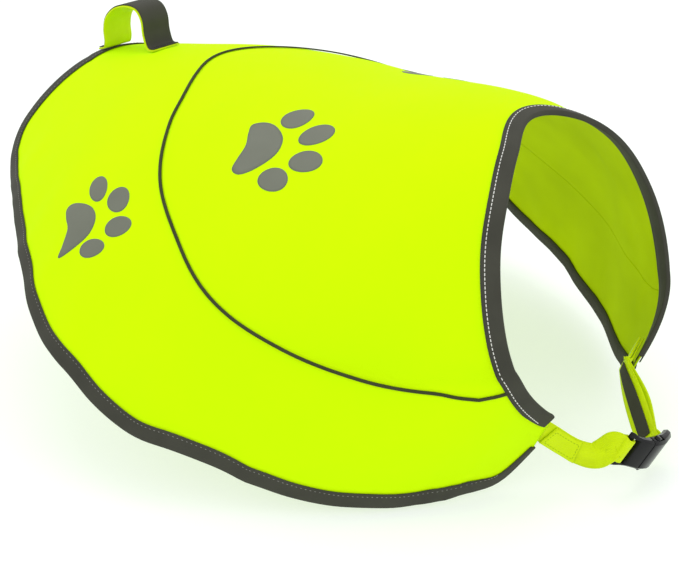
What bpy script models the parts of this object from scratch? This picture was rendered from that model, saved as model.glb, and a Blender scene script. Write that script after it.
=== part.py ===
"""Dog safety vest: a filled-out cloth shell with bound edges, a lead loop and a buckled chest strap.

Sizes are in millimetres until a mesh is made. +X points to the head, +Z up, and -Y is the wearer's right
side. The origin lies on the inner face of the back, on the ridge at station 0, where the wearer holds it up.
"""
import math
from collections import namedtuple

import bmesh
import bpy
from mathutils import Matrix, Vector

MM = 0.001

# Cloth, tape and webbing
CLOTH = 1.2
SEAM_GAP = 0.3
BINDING = 1.0
BINDING_GAP = 0.55
NECK_BINDING_WIDTH = 12.0
NECK_BINDING_END_WIDTH = 9.5
HEM_BINDING_WIDTH = 10.5
HEM_BINDING_END_WIDTH = 5.0
PIPING_WIDTH = 3.4
PIPING_HEIGHT = 1.5
WEBBING = 1.5
TAPE = 0.7
TAIL = 1.1
LAYER_GAP = 0.35
STRAP_WIDTH = 20.0
STRIPE_WIDTH = 11.0
LOOP_WIDTH = 32.0
LOOP_TAPE_WIDTH = 30.0

# Body sections: where the ridge and the widest line lie, and how far the section reaches below that line
Section = namedtuple("Section", "station ridge half_width widest reach")
SECTIONS = [
    Section(-280, -36, 140, -270, 200),
    Section(-220, -20.5, 182, -269, 200),
    Section(-160, -11, 225, -266, 200),
    Section(-100, -3, 259, -258, 200),
    Section(-30, -0.5, 274, -248, 200),
    Section(40, 0.5, 261, -247, 200),
    Section(95, 6, 236, -232, 180),
    Section(140, 10.5, 211, -217, 165),
    Section(180, 12, 184, -203, 160),
    Section(215, 9.5, 152, -190, 150),
    Section(240, 7, 131, -172, 120),
    Section(260, 1, 115, -147, 100),
    Section(285, -6, 99, -116, 75),
]

# Edges of the cut, as the station reached at each angle round the body from the ridge
Edge = namedtuple("Edge", "angle station")
NECK_RIGHT = [
    Edge(0, 211), Edge(20, 228), Edge(34, 239), Edge(49, 248), Edge(63, 257),
    Edge(78, 266), Edge(95, 275), Edge(110, 279), Edge(126, 281), Edge(141, 281),
]
NECK_LEFT = [
    Edge(0, 211), Edge(20, 231), Edge(34, 244), Edge(49, 253), Edge(63, 261),
    Edge(78, 268), Edge(95, 275), Edge(110, 279), Edge(126, 281), Edge(144, 281),
]
HEM_EDGE = [
    Edge(0, -238), Edge(12, -237), Edge(22, -241), Edge(30, -246), Edge(37, -249), Edge(43, -240),
    Edge(47.5, -217), Edge(51, -177), Edge(54.5, -144), Edge(58, -106), Edge(60.5, -89),
    Edge(67, -47), Edge(71, -12), Edge(74.5, 14), Edge(78.5, 46), Edge(82, 77), Edge(86.5, 108),
]
HEM_TIP_RIGHT = [
    Edge(91.5, 132), Edge(97, 153), Edge(103, 178), Edge(107.5, 200), Edge(112.5, 220),
    Edge(121, 236), Edge(127, 243), Edge(135, 250), Edge(139, 256), Edge(143, 268),
]
HEM_TIP_LEFT = [
    Edge(88, 115), Edge(96, 156), Edge(102, 188), Edge(107, 211), Edge(112, 226),
    Edge(118, 238), Edge(125, 250), Edge(134, 263), Edge(141, 269),
]
SEAM_LINE = [
    Edge(0, -95), Edge(5, -91), Edge(11, -78), Edge(18, -60), Edge(25, -43), Edge(36, -8), Edge(46, 38),
    Edge(57, 87), Edge(66, 140), Edge(74, 191), Edge(82, 235), Edge(97, 267), Edge(105, 278),
]
SEAM_END = SEAM_LINE[-1].angle
PIPING_END = 96.5
REARWARD = 1
FORWARD = -1

# Soft folds: where each is centred, which way it runs, how long and wide it is and how far it stands out
Fold = namedtuple("Fold", "station angle turn length width rise")
FOLDS = [
    Fold(-215, 40, 60, 34, 13, 1.8),
    Fold(-150, 50, 75, 30, 12, -1.6),
    Fold(-95, 55, 70, 40, 15, 1.7),
    Fold(-40, 62, 80, 34, 14, -1.8),
    Fold(20, 68, 85, 44, 16, 2.0),
    Fold(75, 76, 95, 32, 13, -1.6),
    Fold(120, 84, 100, 36, 14, 1.5),
    Fold(-190, -42, 65, 30, 12, 1.6),
    Fold(-130, -50, 70, 38, 14, -1.7),
    Fold(-70, -57, 80, 32, 13, 1.8),
    Fold(0, -65, 80, 42, 16, -1.9),
    Fold(60, -74, 90, 30, 12, 1.6),
    Fold(110, -82, 100, 38, 14, -1.4),
]
SPREAD_PER_DEGREE = 3.6

# Grid of the cloth walls
COLUMNS = 80
NECK_COLUMNS = 72
NECK_BINDING_SHORT = 0.6
SEAM_CLEAR = 0.25
YOKE_ROWS = 12
SURROUND_ROWS = 10
TIP_ROWS = 3
CURVE_SAMPLES = 320
END_BLEND = 0.10

LIME = (0.62, 1.0, 0.0, 1.0)
TAPE_GREY = (0.075, 0.075, 0.06, 1.0)
PIPING_OLIVE = (0.06, 0.07, 0.03, 1.0)
BUCKLE_BLACK = (0.012, 0.012, 0.013, 1.0)


def smooth(rows, key, value, at):
    """Value at a place in a table, on a smooth curve through its rows."""
    keys = [getattr(row, key) for row in rows]
    values = [getattr(row, value) for row in rows]
    if keys[0] > keys[-1]:
        keys.reverse()
        values.reverse()
    last = len(keys) - 1
    index = 0
    while index < last - 1 and at > keys[index + 1]:
        index += 1

    def slope(k):
        low = max(k - 1, 0)
        high = min(k + 1, last)
        return (values[high] - values[low]) / (keys[high] - keys[low])

    span = keys[index + 1] - keys[index]
    t = (at - keys[index]) / span
    if t < 0 or t > 1:
        end = index if t < 0 else index + 1
        return values[end] + slope(end) * (at - keys[end])
    return ((2 * t**3 - 3 * t**2 + 1) * values[index] + (t**3 - 2 * t**2 + t) * span * slope(index)
            + (3 * t**2 - 2 * t**3) * values[index + 1] + (t**3 - t**2) * span * slope(index + 1))


def both_sides(right, left):
    """Edge table from the right side's end over the ridge to the left side's end."""
    return [Edge(-row.angle, row.station) for row in reversed(right) if row.angle] + list(left)


NECK_BOTH = both_sides(NECK_RIGHT, NECK_LEFT)
HEM_BOTH = both_sides(HEM_EDGE + HEM_TIP_RIGHT, HEM_EDGE + HEM_TIP_LEFT)
SEAM_BOTH = both_sides(SEAM_LINE, SEAM_LINE)
RIGHT = 0
LEFT = -1


def form(station, angle):
    """Point of the smooth body form; negative angles are on the wearer's right."""
    half_width = smooth(SECTIONS, "station", "half_width", station)
    widest = smooth(SECTIONS, "station", "widest", station)
    across = math.sin(math.radians(angle))
    up = math.cos(math.radians(angle))
    if up > 0:
        height = smooth(SECTIONS, "station", "ridge", station) + CLOTH - widest
    else:
        height = smooth(SECTIONS, "station", "reach", station)
    return Vector((station, half_width * across, widest + height * up))


def form_directions(station, angle):
    """Change of the form for 1 mm of station and for 1 degree, and its outward normal."""
    forward = (form(station + 0.5, angle) - form(station - 0.5, angle))
    around = (form(station, angle + 0.5) - form(station, angle - 0.5))
    return forward, around, forward.cross(around).normalized()


def fold_rise(station, angle):
    """How far the soft folds lift the cloth at a place."""
    rise = 0.0
    for fold in FOLDS:
        turn = math.radians(fold.turn)
        forward = station - fold.station
        around = (angle - fold.angle) * SPREAD_PER_DEGREE
        along = forward * math.cos(turn) + around * math.sin(turn)
        across = around * math.cos(turn) - forward * math.sin(turn)
        rise += fold.rise * math.exp(-(along / fold.length) ** 2 - (across / fold.width) ** 2)
    return rise


def skin(place, lift=0.0):
    """Point of the cloth's outer face at a (station, angle) place, moved out by lift."""
    station, angle = place
    normal = form_directions(station, angle)[2]
    return form(station, angle) + normal * (lift + fold_rise(station, angle))


def walk(place, step):
    """Place reached by a step along the cloth, given as a vector in millimetres."""
    station, angle = place
    goal = form(station, angle) + step
    for _ in range(3):
        forward, around, normal = form_directions(station, angle)
        miss = goal - form(station, angle)
        miss -= normal * miss.dot(normal)
        ff = forward.dot(forward)
        fa = forward.dot(around)
        aa = around.dot(around)
        mf = miss.dot(forward)
        ma = miss.dot(around)
        det = ff * aa - fa * fa
        station += (mf * aa - ma * fa) / det
        angle += (ma * ff - mf * fa) / det
    return station, angle


def spaced(rows, start, end, count):
    """Places evenly spaced along an edge between two angles."""
    places = []
    for k in range(CURVE_SAMPLES + 1):
        angle = start + (end - start) * k / CURVE_SAMPLES
        places.append((smooth(rows, "angle", "station", angle), angle))
    points = [form(*place) for place in places]
    travelled = [0.0]
    for k in range(CURVE_SAMPLES):
        travelled.append(travelled[-1] + (points[k + 1] - points[k]).length)
    result = []
    k = 0
    for j in range(count + 1):
        goal = travelled[-1] * j / count
        while k < CURVE_SAMPLES - 1 and travelled[k + 1] < goal:
            k += 1
        share = (goal - travelled[k]) / (travelled[k + 1] - travelled[k])
        angle = places[k][1] + (places[k + 1][1] - places[k][1]) * share
        result.append((smooth(rows, "angle", "station", angle), angle))
    return result


def inward(places, j, side):
    """Unit vector along the cloth, square to an edge that runs from right to left."""
    before = form(*places[max(j - 1, 0)])
    after = form(*places[min(j + 1, len(places) - 1)])
    along = (after - before).normalized()
    normal = form_directions(*places[j])[2]
    return normal.cross(along).normalized() * side


def shifted(places, distance, side):
    """Edge moved along the cloth by a distance."""
    return [walk(place, inward(places, j, side) * distance) for j, place in enumerate(places)]


def between(a, b, share):
    return (a[0] + (b[0] - a[0]) * share, a[1] + (b[1] - a[1]) * share)


def material(name, colour, roughness, metallic=0.0):
    made = bpy.data.materials.new(name)
    made.use_nodes = True
    shader = made.node_tree.nodes["Principled BSDF"]
    shader.inputs["Base Color"].default_value = colour
    shader.inputs["Roughness"].default_value = roughness
    shader.inputs["Metallic"].default_value = metallic
    return made


def add_solid(name, bm, colour, roughness, metallic=0.0):
    """Object from a millimetre mesh, with its faces pointing out."""
    bmesh.ops.remove_doubles(bm, verts=bm.verts, dist=0.001)
    bmesh.ops.dissolve_degenerate(bm, edges=bm.edges, dist=0.001)
    bmesh.ops.triangulate(bm, faces=[face for face in bm.faces if len(face.verts) > 3])
    bmesh.ops.recalc_face_normals(bm, faces=bm.faces)
    if bm.calc_volume(signed=True) < 0:
        bmesh.ops.reverse_faces(bm, faces=bm.faces)
    bmesh.ops.scale(bm, vec=(MM, MM, MM), verts=bm.verts)
    mesh = bpy.data.meshes.new(name)
    bm.to_mesh(mesh)
    bm.free()
    mesh.shade_smooth()
    mesh.set_sharp_from_angle(angle=math.radians(40))
    mesh.materials.append(material(name, colour, roughness, metallic))
    solid = bpy.data.objects.new(name, mesh)
    bpy.context.scene.collection.objects.link(solid)
    return solid


def wall(grid, outer_lift, inner_lift):
    """Closed cloth wall over a grid of places, rows of equal length."""
    bm = bmesh.new()
    outer = [[bm.verts.new(skin(place, outer_lift)) for place in row] for row in grid]
    inner = [[bm.verts.new(skin(place, inner_lift)) for place in row] for row in grid]
    rows = len(grid)
    columns = len(grid[0])
    for i in range(rows - 1):
        for j in range(columns - 1):
            bm.faces.new((outer[i][j], outer[i][j + 1], outer[i + 1][j + 1], outer[i + 1][j]))
            bm.faces.new((inner[i + 1][j], inner[i + 1][j + 1], inner[i][j + 1], inner[i][j]))
    for j in range(columns - 1):
        bm.faces.new((outer[0][j + 1], outer[0][j], inner[0][j], inner[0][j + 1]))
        bm.faces.new((outer[-1][j], outer[-1][j + 1], inner[-1][j + 1], inner[-1][j]))
    for i in range(rows - 1):
        bm.faces.new((outer[i][0], outer[i + 1][0], inner[i + 1][0], inner[i][0]))
        bm.faces.new((outer[i + 1][-1], outer[i][-1], inner[i][-1], inner[i + 1][-1]))
    return bm


def swept(sections):
    """Closed bar through a list of section rings with equal point counts."""
    bm = bmesh.new()
    rings = [[bm.verts.new(point) for point in section] for section in sections]
    count = len(rings[0])
    for first, second in zip(rings, rings[1:]):
        for k in range(count):
            n = (k + 1) % count
            bm.faces.new((first[k], first[n], second[n], second[k]))
    bm.faces.new(rings[0])
    bm.faces.new(list(reversed(rings[-1])))
    return bm


def yoke_panel():
    """Back and shoulder panel between the neck edge and the curved seam."""
    neck = spaced(NECK_BOTH, -SEAM_END, SEAM_END, COLUMNS)
    seam = shifted(spaced(SEAM_BOTH, -SEAM_END, SEAM_END, COLUMNS), SEAM_GAP / 2, FORWARD)
    seam[0] = neck[0]
    seam[-1] = neck[-1]
    grid = [[between(a, b, i / YOKE_ROWS) for a, b in zip(neck, seam)] for i in range(YOKE_ROWS + 1)]
    return add_solid("yoke_panel", wall(grid, 0.0, -CLOTH), LIME, 0.75)


def tip_edge(end):
    """Places down one front end of the surround: neck edge below the seam, then across the tip."""
    neck_rows = SURROUND_ROWS - TIP_ROWS
    clear = math.copysign(SEAM_END + SEAM_CLEAR, NECK_BOTH[end].angle)
    down = spaced(NECK_BOTH, clear, NECK_BOTH[end].angle, neck_rows)
    hem_corner = (HEM_BOTH[end].station, HEM_BOTH[end].angle)
    across = [between(down[-1], hem_corner, (i + 1) / TIP_ROWS) for i in range(TIP_ROWS)]
    return down + across


def surround_panel():
    """Rear and side panel from the seam to the hem, with its two chest tips."""
    seam = shifted(spaced(SEAM_BOTH, -SEAM_END, SEAM_END, COLUMNS), SEAM_GAP / 2, REARWARD)
    hem = spaced(HEM_BOTH, HEM_BOTH[RIGHT].angle, HEM_BOTH[LEFT].angle, COLUMNS)
    right_end = tip_edge(RIGHT)
    left_end = tip_edge(LEFT)
    seam[0] = right_end[0]
    seam[-1] = left_end[0]
    grid = []
    for i in range(SURROUND_ROWS + 1):
        share = i / SURROUND_ROWS
        row = []
        for j in range(COLUMNS + 1):
            station, angle = between(seam[j], hem[j], share)
            for end, corner, distance in ((right_end, 0, j), (left_end, -1, COLUMNS - j)):
                pull = max(0.0, 1 - distance / (END_BLEND * COLUMNS)) ** 2
                straight = between(seam[corner], hem[corner], share)
                station += (end[i][0] - straight[0]) * pull
                angle += (end[i][1] - straight[1]) * pull
            row.append((station, angle))
        grid.append(row)
    return add_solid("surround_panel", wall(grid, 0.0, -CLOTH), LIME, 0.75)


def binding(name, places, side, width, end_width, taper):
    """Tape folded over an edge: an outer leg, a rounded fold and an inner leg."""
    top = BINDING_GAP
    under = -CLOTH - BINDING_GAP
    middle = -CLOTH / 2
    count = len(places) - 1
    sections = []
    for j, place in enumerate(places):
        near_end = max(0.0, 1 - min(j, count - j) / taper)
        reach = width + (end_width - width) * near_end
        profile = [
            (reach, top), (reach, top + BINDING), (reach / 2, top + BINDING), (0, top + BINDING),
            (-BINDING_GAP - BINDING * 0.75, top + BINDING * 0.25),
            (-BINDING_GAP - BINDING, middle),
            (-BINDING_GAP - BINDING * 0.75, under - BINDING * 0.25),
            (0, under - BINDING), (reach / 2, under - BINDING), (reach, under - BINDING), (reach, under),
            (reach / 2, under), (-BINDING_GAP, under), (-BINDING_GAP, top), (reach / 2, top),
        ]
        across = inward(places, j, side)
        sections.append([skin(walk(place, across * distance), lift) for distance, lift in profile])
    return add_solid(name, swept(sections), TAPE_GREY, 0.6)


def neck_binding():
    start = NECK_BOTH[RIGHT].angle + NECK_BINDING_SHORT
    end = NECK_BOTH[LEFT].angle - NECK_BINDING_SHORT
    places = spaced(NECK_BOTH, start, end, NECK_COLUMNS)
    return binding("neck_binding", places, REARWARD, NECK_BINDING_WIDTH, NECK_BINDING_END_WIDTH, 4)


def hem_binding():
    places = spaced(HEM_BOTH, HEM_BOTH[RIGHT].angle, HEM_BOTH[LEFT].angle, COLUMNS)
    return binding("hem_binding", places, FORWARD, HEM_BINDING_WIDTH, HEM_BINDING_END_WIDTH, 3)


def seam_piping():
    """Raised piping over the seam, from one neck binding leg to the other."""
    places = spaced(SEAM_BOTH, -PIPING_END, PIPING_END, COLUMNS)
    half = PIPING_WIDTH / 2
    profile = [
        (-half, BINDING_GAP), (-half * 0.8, BINDING_GAP + PIPING_HEIGHT * 0.6),
        (0, BINDING_GAP + PIPING_HEIGHT), (half * 0.8, BINDING_GAP + PIPING_HEIGHT * 0.6),
        (half, BINDING_GAP), (0, BINDING_GAP),
    ]
    sections = []
    for j, place in enumerate(places):
        across = inward(places, j, REARWARD)
        sections.append([skin(walk(place, across * distance), lift) for distance, lift in profile])
    return add_solid("seam_piping", swept(sections), PIPING_OLIVE, 0.6)


def frame_at(centre, along, face):
    """Matrix from a frame with X along, Z out of the face and Y across."""
    along = along.normalized()
    face = (face - along * face.dot(along)).normalized()
    across = face.cross(along)
    return Matrix((
        (along.x, across.x, face.x, centre.x),
        (along.y, across.y, face.y, centre.y),
        (along.z, across.z, face.z, centre.z),
        (0, 0, 0, 1),
    ))


Stop = namedtuple("Stop", "point across")


def smooth_stops(stops, steps):
    """Stops along a smooth curve through the given ones."""
    result = []
    for k in range(len(stops) - 1):
        chain = [stops[max(k - 1, 0)], stops[k], stops[k + 1], stops[min(k + 2, len(stops) - 1)]]
        for step in range(steps):
            t = step / steps
            weights = (
                (-t**3 + 2 * t**2 - t) / 2, (3 * t**3 - 5 * t**2 + 2) / 2,
                (-3 * t**3 + 4 * t**2 + t) / 2, (t**3 - t**2) / 2,
            )
            point = sum((stop.point * weight for stop, weight in zip(chain, weights)), Vector())
            across = sum((stop.across * weight for stop, weight in zip(chain, weights)), Vector())
            result.append(Stop(point, across.normalized()))
    return result + [stops[-1]]


def ribbon(name, stops, width, low, high, colour, first=0, last=None):
    """Flat band along some or all stops, between two heights over their path."""
    inside = STRIPE_WIDTH / 2
    offsets = sorted({width / 2, inside, 0.0, -inside, -width / 2})
    sections = []
    for k in range(len(stops))[first:last]:
        stop = stops[k]
        along = (stops[min(k + 1, len(stops) - 1)].point - stops[max(k - 1, 0)].point).normalized()
        across = (stop.across - along * stop.across.dot(along)).normalized()
        face = along.cross(across)
        under = [stop.point + across * offset + face * low for offset in offsets]
        over = [stop.point + across * offset + face * high for offset in reversed(offsets)]
        sections.append(under + over)
    return add_solid(name, swept(sections), colour, 0.7)


# Lead loop on the ridge: how far along the body and how high over the ridge its path runs
LoopStop = namedtuple("LoopStop", "station height")
LOOP_PATH = [
    LoopStop(-238.5, 1.7), LoopStop(-232, 1.7), LoopStop(-227.5, 2.6), LoopStop(-226, 8),
    LoopStop(-226.5, 18), LoopStop(-223, 28.5), LoopStop(-212, 36), LoopStop(-198, 38), LoopStop(-185, 35),
    LoopStop(-178.5, 26), LoopStop(-177, 14), LoopStop(-174, 4), LoopStop(-168.5, 0.4), LoopStop(-161, 0),
]


def lead_loop():
    """Webbing loop with its two feet flat on the ridge and a tape along its outer face."""
    across = Vector((0, 1, 0))
    stops = []
    for stop in LOOP_PATH:
        ridge = skin((stop.station, 0)).z + LAYER_GAP + WEBBING / 2
        stops.append(Stop(Vector((stop.station, 0, ridge + stop.height)), across))
    stops = smooth_stops(stops, 4)
    half = WEBBING / 2
    ribbon("loop_webbing", stops, LOOP_WIDTH, -half, half, LIME)
    ribbon("loop_tape", stops, LOOP_TAPE_WIDTH, half + LAYER_GAP, half + LAYER_GAP + TAPE, TAPE_GREY)


# Buckle frame: X runs from the plug's bar to the socket's hood, Z out of its curved face
BUCKLE = frame_at(Vector((326.5, -2, -222.5)), Vector((0, 0.94, -0.34)), Vector((0.93, -0.13, -0.35)))
BUCKLE_ARCH_RADIUS = 55.0
SLOT_HALF = STRAP_WIDTH / 2 + 0.8
PLUG_BAR = -29.6
SOCKET_BAR = 16.5
SOCKET_BAR_RADIUS = 1.6
SOCKET_BAR_DEPTH = 1.9
PLUG_WRAP = 3.9
SOCKET_WRAP = 2.8

Ring = namedtuple("Ring", "along half_width half_thick")
SOCKET_RINGS = [
    Ring(-9, 13.2, 4.5), Ring(-4, 13.6, 4.8), Ring(3, 14, 4.8), Ring(9, 14.4, 4.4), Ring(15, 14.8, 4.0),
    Ring(20, 15.5, 3.9), Ring(25, 14.5, 3.8), Ring(29, 11.0, 3.7), Ring(32.5, 6.5, 3.6), Ring(34, 2.5, 3.5),
]
PLUG_RINGS = [
    Ring(-31, 15.2, 1.2), Ring(-28.2, 14.8, 1.4), Ring(-25, 13.6, 2.0), Ring(-20, 12.6, 2.8),
    Ring(-14, 12.8, 3.4), Ring(-9.4, 13.0, 4.0),
]


Step = namedtuple("Step", "along half_width")
PRONG = [Step(-11, 11.6), Step(-4.2, 11.5), Step(-3.6, 15.2), Step(0, 15.0), Step(4.4, 11.0)]
MOUTH = [Step(-12, 12.2), Step(-4.6, 12.2), Step(-4.4, 18), Step(5, 18)]
HOOD_STEPS = [
    Step(10, SLOT_HALF), Step(14, SLOT_HALF), Step(18, SLOT_HALF), Step(22, SLOT_HALF), Step(22.4, 20),
    Step(27, 20), Step(31, 20), Step(36, 20), Step(44, 20),
]
PRONG_INSIDE = 8.2
PRONG_DEPTH = (-2.4, 2.0)
MOUTH_DEPTH = (-2.9, 2.5)
HOOD_ROOM = 2.3
CUT_BELOW = -20
ROD_SIDES = 10
ROD_OVERHANG = 1.2
PLUG_SLOT = (-28.2, -22.2)
PLUG_SLOT_DEPTH = (-14, 8)
TONGUE = (-11, 4.0)
TONGUE_HALF = 3


def arch(along):
    return -along**2 / (2 * BUCKLE_ARCH_RADIUS)


def ring_body(rings, chamfer):
    """Curved bar with chamfered rectangular rings, in the buckle's frame."""
    sections = []
    for ring in rings:
        cut = min(chamfer, ring.half_thick * 0.7, ring.half_width * 0.7)
        y = ring.half_width
        z = ring.half_thick
        middle = arch(ring.along)
        outline = [(y, z - cut), (y - cut, z), (cut - y, z), (-y, z - cut),
                   (-y, cut - z), (cut - y, -z), (y - cut, -z), (y, cut - z)]
        sections.append([Vector((ring.along, across, middle + up)) for across, up in outline])
    return sections


def block(x, y, z):
    """Eight-cornered box between pairs of limits, as two rings."""
    corners = ((y[0], z[0]), (y[1], z[0]), (y[1], z[1]), (y[0], z[1]))
    return [[Vector((along, across, up)) for across, up in corners] for along in x]


def stepped(steps, z):
    """Box whose half width changes along the buckle."""
    sections = []
    for step in steps:
        sections += block((step.along,), (-step.half_width, step.half_width), z)
    return sections


def hood_room():
    """Room under the socket's hood, following its arch, between the cheeks and open at the tip."""
    sections = []
    for step in HOOD_STEPS:
        top = arch(step.along) + HOOD_ROOM
        half = step.half_width
        sections.append([Vector((step.along, -half, CUT_BELOW)), Vector((step.along, half, CUT_BELOW)),
                         Vector((step.along, half, top)), Vector((step.along, -half, top))])
    return sections


def combine(solid, operation, sections):
    """Join or cut a solid with a swept shape given in the buckle's frame."""
    tool = add_solid("tool", swept([[BUCKLE @ point for point in section] for section in sections]), LIME, 1)
    modifier = solid.modifiers.new(operation.lower(), "BOOLEAN")
    modifier.operation = operation
    modifier.object = tool
    bpy.context.view_layer.update()
    evaluated = solid.evaluated_get(bpy.context.evaluated_depsgraph_get())
    mesh = bpy.data.meshes.new_from_object(evaluated)
    solid.modifiers.clear()
    solid.data = mesh
    bpy.data.objects.remove(tool)


def buckle_body(name, rings, chamfer):
    sections = [[BUCKLE @ point for point in section] for section in ring_body(rings, chamfer)]
    return add_solid(name, swept(sections), BUCKLE_BLACK, 0.3)


def buckle_socket():
    """Socket: mouth and side windows for the plug, and a hooded bar for the far strap."""
    socket = buckle_body("buckle_socket", SOCKET_RINGS, 2.4)
    combine(socket, "DIFFERENCE", stepped(MOUTH, MOUTH_DEPTH))
    combine(socket, "DIFFERENCE", hood_room())
    middle = arch(SOCKET_BAR) - SOCKET_BAR_DEPTH
    rod = []
    for across in (-SLOT_HALF - ROD_OVERHANG, SLOT_HALF + ROD_OVERHANG):
        ring = []
        for k in range(ROD_SIDES):
            turn = math.tau * k / ROD_SIDES
            ring.append(Vector((SOCKET_BAR + SOCKET_BAR_RADIUS * math.cos(turn), across,
                                middle + SOCKET_BAR_RADIUS * math.sin(turn))))
        rod.append(ring)
    combine(socket, "UNION", rod)


def buckle_plug():
    """Plug: slotted strap bar with flared corners, a tongue and two sprung prongs."""
    plug = buckle_body("buckle_plug", PLUG_RINGS, 1.6)
    combine(plug, "DIFFERENCE", block(PLUG_SLOT, (-SLOT_HALF, SLOT_HALF), PLUG_SLOT_DEPTH))
    combine(plug, "UNION", block(TONGUE, (-TONGUE_HALF, TONGUE_HALF), PRONG_DEPTH))
    for side in (-1, 1):
        sections = []
        for prong in PRONG:
            y = sorted((side * PRONG_INSIDE, side * prong.half_width))
            sections += block((prong.along,), y, PRONG_DEPTH)
        combine(plug, "UNION", sections)


# Straps: webbing under the chest tips, along the chest and round the buckle's bars
SEWN_ROOM = 1.6
UNDER_PANEL = -(CLOTH + BINDING_GAP + BINDING + SEWN_ROOM + WEBBING / 2)
NearStop = namedtuple("NearStop", "x y z lean")
NEAR_RUN = [
    NearStop(284, -50, -210, 0), NearStop(294, -44.5, -215.5, 0.2), NearStop(304, -38.5, -216.5, 0.35),
]
LEAN = Vector((-0.58, 0.69, -0.42))
NEAR_SEWN = (22.0, 4.0)
FAR_SEWN = (20.0, 0.0, -6.0)
FAR_STRAND_STEP = 2.4
FAR_MIDDLE = Vector((295.8, 38.2, -208.7))
FAR_ACROSS = Vector((0.66, 0.10, 0.70))
FAR_BOW = {1: Vector((-2.7, -2.3, 0)), -1: Vector((-1.5, -1.3, 0))}
FAR_MIDDLE_SPREAD = 2.0
STRAND_OFFSET = 1.0
FAR_RUN = 14
STOP_STEPS = 5


def tip_across(end):
    """Direction across a strap where it is sewn under a chest tip."""
    corners = [form(rows[end].station, rows[end].angle) for rows in (NECK_BOTH, HEM_BOTH)]
    return (corners[0] - corners[1]).normalized()


def sewn_stops(end, reaches, lift):
    """Stops under a chest tip, towards the middle of its cut end."""
    neck = (NECK_BOTH[end].station, NECK_BOTH[end].angle)
    hem = (HEM_BOTH[end].station, HEM_BOTH[end].angle)
    middle = between(neck, hem, 0.5)
    normal = form_directions(*middle)[2]
    across = tip_across(end)
    across = (across - normal * across.dot(normal)).normalized()
    back = across.cross(normal)
    if back.y * middle[1] < 0:
        back.negate()
    return [Stop(skin(walk(middle, back * reach), lift), across) for reach in reaches]


def wrapped_stops(bar, outward, radius, run):
    """Stops in beside a bar on its outward side, round it and out again on the other side."""
    outward = outward.normalized()
    back = Vector((-outward.z, 0, outward.x))
    if back.z > 0:
        back.negate()
    points = [bar + back * distance + outward * spread
              for distance, spread in ((run, STRAND_OFFSET), (run * 0.5, 2.2), (1.5, radius))]
    for k in range(1, 8):
        turn = math.pi * k / 8
        points.append(bar + outward * (radius * math.cos(turn)) - back * (radius * math.sin(turn)))
    points += [bar + back * distance - outward * spread
               for distance, spread in ((1.5, radius), (run * 0.5, 2.2), (run, STRAND_OFFSET))]
    across = BUCKLE.to_3x3() @ Vector((0, 1, 0))
    return [Stop(BUCKLE @ point, across) for point in points]


def near_strap():
    """Strap from the right chest tip to the plug's bar, with its outer layer and inner stripe."""
    across = tip_across(RIGHT)
    bar = Vector((PLUG_BAR, 0, arch(PLUG_BAR)))
    run = [Stop(Vector((stop.x, stop.y, stop.z)), (across + LEAN * stop.lean).normalized())
           for stop in NEAR_RUN]
    wrapped = wrapped_stops(bar, Vector((-0.77, 0, 0.63)), PLUG_WRAP, 7)
    stops = smooth_stops(sewn_stops(RIGHT, NEAR_SEWN, UNDER_PANEL) + run + wrapped, STOP_STEPS)
    half = WEBBING / 2
    ribbon("near_strap", stops, STRAP_WIDTH, -half, half, LIME)
    face = half + LAYER_GAP
    start = STOP_STEPS + 2
    ribbon("near_strap_tail", stops, STRAP_WIDTH - 1, face, face + TAIL, LIME, start, 3 * STOP_STEPS)
    end = 4 * STOP_STEPS - 2
    ribbon("near_strap_stripe", stops, STRIPE_WIDTH, -face - TAPE, -face, TAPE_GREY, start, end)


def far_strap():
    """Strap loop from the left chest tip round the socket's bar and back to the tip."""
    bar = Vector((SOCKET_BAR, 0, arch(SOCKET_BAR) - SOCKET_BAR_DEPTH))
    wrapped = wrapped_stops(bar, Vector((-0.87, 0, -0.49)), SOCKET_WRAP, FAR_RUN)
    along = (BUCKLE @ bar - FAR_MIDDLE).normalized()
    across = (FAR_ACROSS - along * FAR_ACROSS.dot(along)).normalized()
    inner_face = along.cross(across)
    middles = [Stop(FAR_MIDDLE + FAR_BOW[side] + inner_face * FAR_MIDDLE_SPREAD * side, across)
               for side in (1, -1)]
    inner = sewn_stops(LEFT, FAR_SEWN, UNDER_PANEL - FAR_STRAND_STEP)
    outer = sewn_stops(LEFT, FAR_SEWN, UNDER_PANEL)
    stops = smooth_stops(inner + middles[:1] + wrapped + middles[1:] + outer[::-1], STOP_STEPS)
    half = WEBBING / 2
    ribbon("far_strap", stops, STRAP_WIDTH, -half, half, LIME)
    face = half + LAYER_GAP
    start = 2 * STOP_STEPS
    end = 4 * STOP_STEPS + 2
    ribbon("far_strap_stripe", stops, STRIPE_WIDTH, face, face + TAPE, TAPE_GREY, start, end)


def clear_scene():
    for old in list(bpy.data.objects):
        bpy.data.objects.remove(old)


def main():
    clear_scene()
    yoke_panel()
    surround_panel()
    seam_piping()
    neck_binding()
    hem_binding()
    lead_loop()
    near_strap()
    far_strap()
    buckle_socket()
    buckle_plug()


main()
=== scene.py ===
# %% [markdown]
# A dog safety vest: fluorescent cloth filled out to the shape of a back, with a yoke, a surround, bound
# edges, a lead loop on the ridge and a chest strap with a side-release buckle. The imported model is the
# fixed frame. Every soft solid gets a finer cloth piece in the same place, so the frame is loaded first.

# %% Load the frame
import math
from collections import namedtuple

import bpy
from mathutils import Matrix, Vector


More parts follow.
